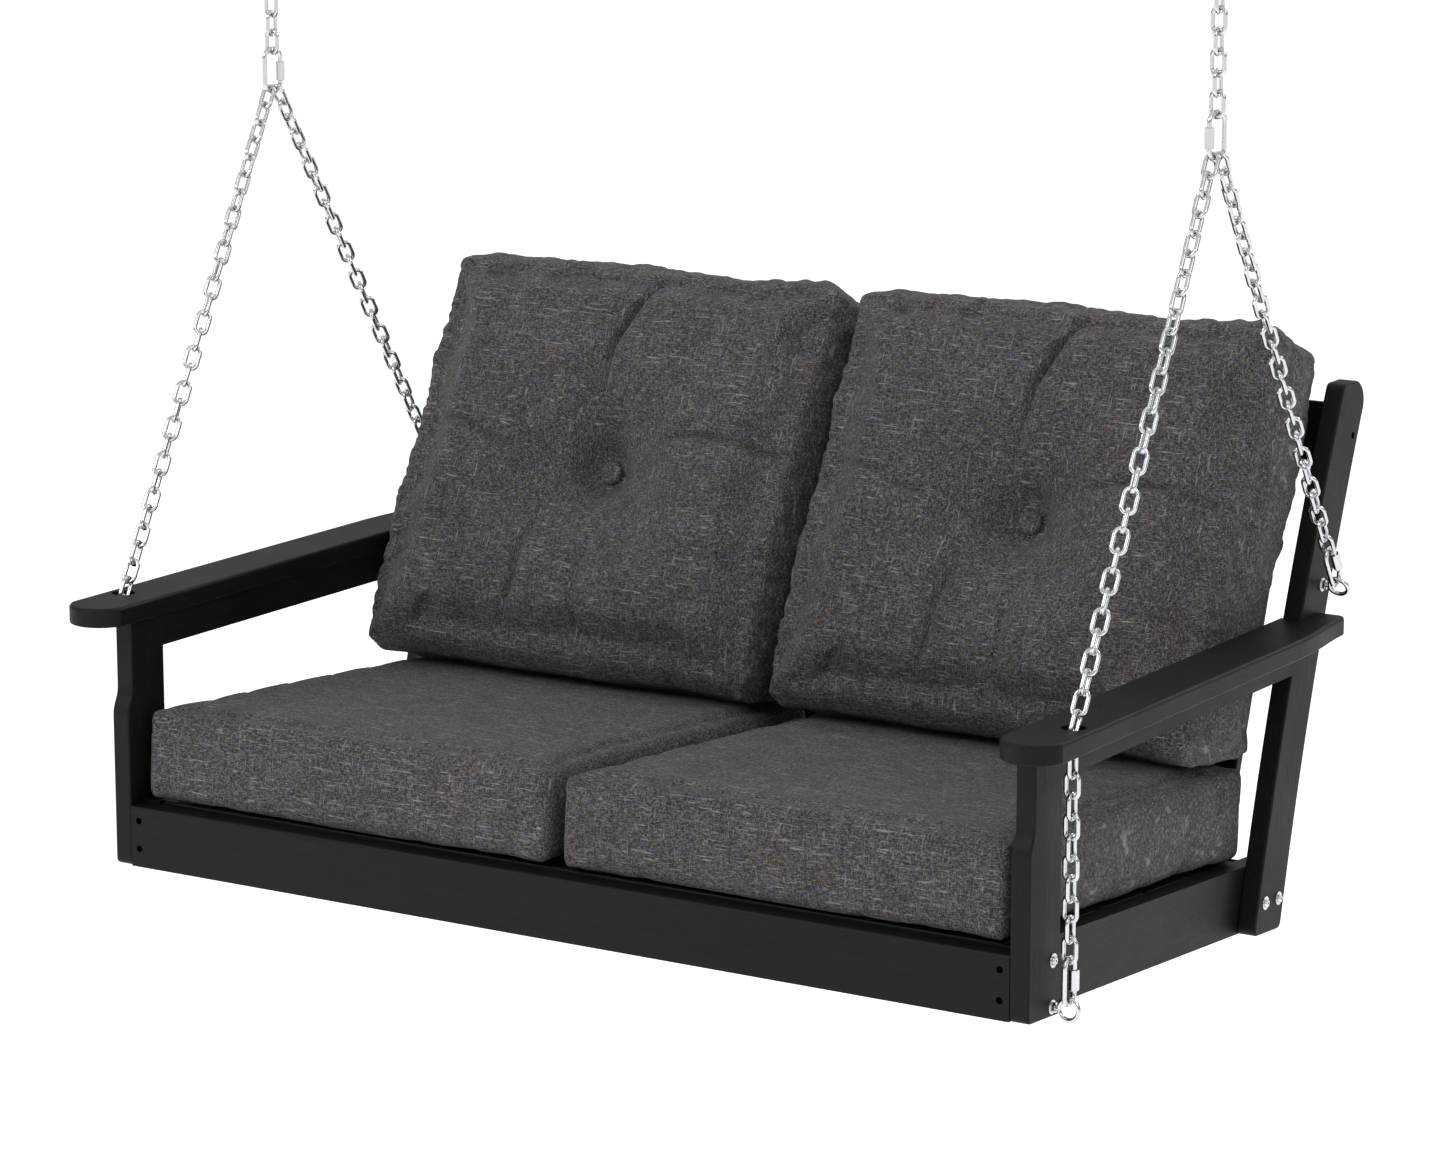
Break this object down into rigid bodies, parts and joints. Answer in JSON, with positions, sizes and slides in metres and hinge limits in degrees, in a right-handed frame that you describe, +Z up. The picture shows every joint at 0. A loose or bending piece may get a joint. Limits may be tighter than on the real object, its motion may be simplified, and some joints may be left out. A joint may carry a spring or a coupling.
{
  "type": "porch_swing_seat",
  "caption": "Two-seat board-built porch swing with loose dark cushions, hung on steel chains from two ceiling hooks.",
  "frame": {"origin": "under the middle of the whole box, at the lowest point of the rear feet", "axes": "+X from the viewer's left to right along the seat, +Y from the front of the seat to its back, +Z up"},
  "size_m": [1.42, 0.9191, 1.2326],
  "materials": {
    "board": "matte",
    "steel": "polished",
    "screw_steel": "brushed",
    "cover_cloth": "woven",
    "foam": "matte"
  },
  "bodies": {
    "ceiling": {"left_ceiling_hook": "steel", "right_ceiling_hook": "steel"},
    "left_hanger": {"left_upper_chain": "steel", "left_upper_quick_link": "steel"},
    "right_hanger": {"right_upper_chain": "steel", "right_upper_quick_link": "steel"},
    "left_upper_sleeve_body": {"left_upper_sleeve": "steel"},
    "right_upper_sleeve_body": {"right_upper_sleeve": "steel"},
    "left_front_sleeve_body": {"left_front_sleeve": "steel"},
    "right_front_sleeve_body": {"right_front_sleeve": "steel"},
    "left_rear_sleeve_body": {"left_rear_sleeve": "steel"},
    "right_rear_sleeve_body": {"right_rear_sleeve": "steel"},
    "seat": {"left_front_leg": "board", "right_front_leg": "board", "left_rear_leg": "board", "right_rear_leg": "board", "left_arm": "board", "right_arm": "board", "left_arm_apron": "board", "right_arm_apron": "board", "left_side_rail": "board", "right_side_rail": "board", "front_rail": "board", "lower_back_rail": "board", "top_back_rail": "board", "left_seat_bearer": "board", "centre_seat_bearer": "board", "right_seat_bearer": "board", "seat_slat_1": "board", "seat_slat_2": "board", "seat_slat_3": "board", "seat_slat_4": "board", "seat_slat_5": "board", "back_slat_1": "board", "back_slat_2": "board", "back_slat_3": "board", "back_slat_4": "board", "back_slat_5": "board", "back_slat_6": "board", "back_slat_7": "board", "back_slat_8": "board", "left_front_chain": "steel", "right_front_chain": "steel", "left_rear_chain": "steel", "right_rear_chain": "steel", "front_quick_links": "steel", "rear_quick_links": "steel", "eye_bolts": "steel", "eye_bolt_nuts": "steel", "bolt_washers": "steel", "leg_bolts": "steel", "frame_screws": "screw_steel", "slat_screws": "screw_steel", "left_seat_cushion_cover": "cover_cloth", "right_seat_cushion_cover": "cover_cloth", "left_back_cushion_cover": "cover_cloth", "right_back_cushion_cover": "cover_cloth", "tufting_buttons": "cover_cloth", "left_seat_cushion_foam": "foam", "right_seat_cushion_foam": "foam"}
  },
  "joints": [
    {"name": "swing", "type": "hinge", "parent": "ceiling", "child": "left_hanger", "pos_m": [-0.6845, -0.02357, 1.19107], "axis": [1, 0, 0], "range_deg": [-25, 25]},
    {"name": "swing_right", "type": "hinge", "parent": "ceiling", "child": "right_hanger", "pos_m": [0.6845, -0.02357, 1.19107], "axis": [1, 0, 0], "range_deg": [-25, 25]},
    {"name": "rock", "type": "hinge", "parent": "left_hanger", "child": "seat", "pos_m": [-0.6845, -0.02357, 1.00812], "axis": [1, 0, 0], "range_deg": [-6, 6]},
    {"name": "left_upper_sleeve_slide", "type": "slide", "parent": "left_hanger", "child": "left_upper_sleeve_body", "axis": [0, 0, 1], "range_m": [0, 0.006]},
    {"name": "right_upper_sleeve_slide", "type": "slide", "parent": "right_hanger", "child": "right_upper_sleeve_body", "axis": [0, 0, 1], "range_m": [0, 0.006]},
    {"name": "left_front_sleeve_slide", "type": "slide", "parent": "seat", "child": "left_front_sleeve_body", "axis": [0, 0, 1], "range_m": [0, 0.006]},
    {"name": "left_rear_sleeve_slide", "type": "slide", "parent": "seat", "child": "left_rear_sleeve_body", "axis": [0, -0.5339, 0.8456], "range_m": [0, 0.006]},
    {"name": "right_front_sleeve_slide", "type": "slide", "parent": "seat", "child": "right_front_sleeve_body", "axis": [0, 0, 1], "range_m": [0, 0.006]},
    {"name": "right_rear_sleeve_slide", "type": "slide", "parent": "seat", "child": "right_rear_sleeve_body", "axis": [0, -0.5339, 0.8456], "range_m": [0, 0.006]}
  ],
  "couplings": [
    {"joint": "swing_right", "follows": "swing", "ratio": 1}
  ]
}
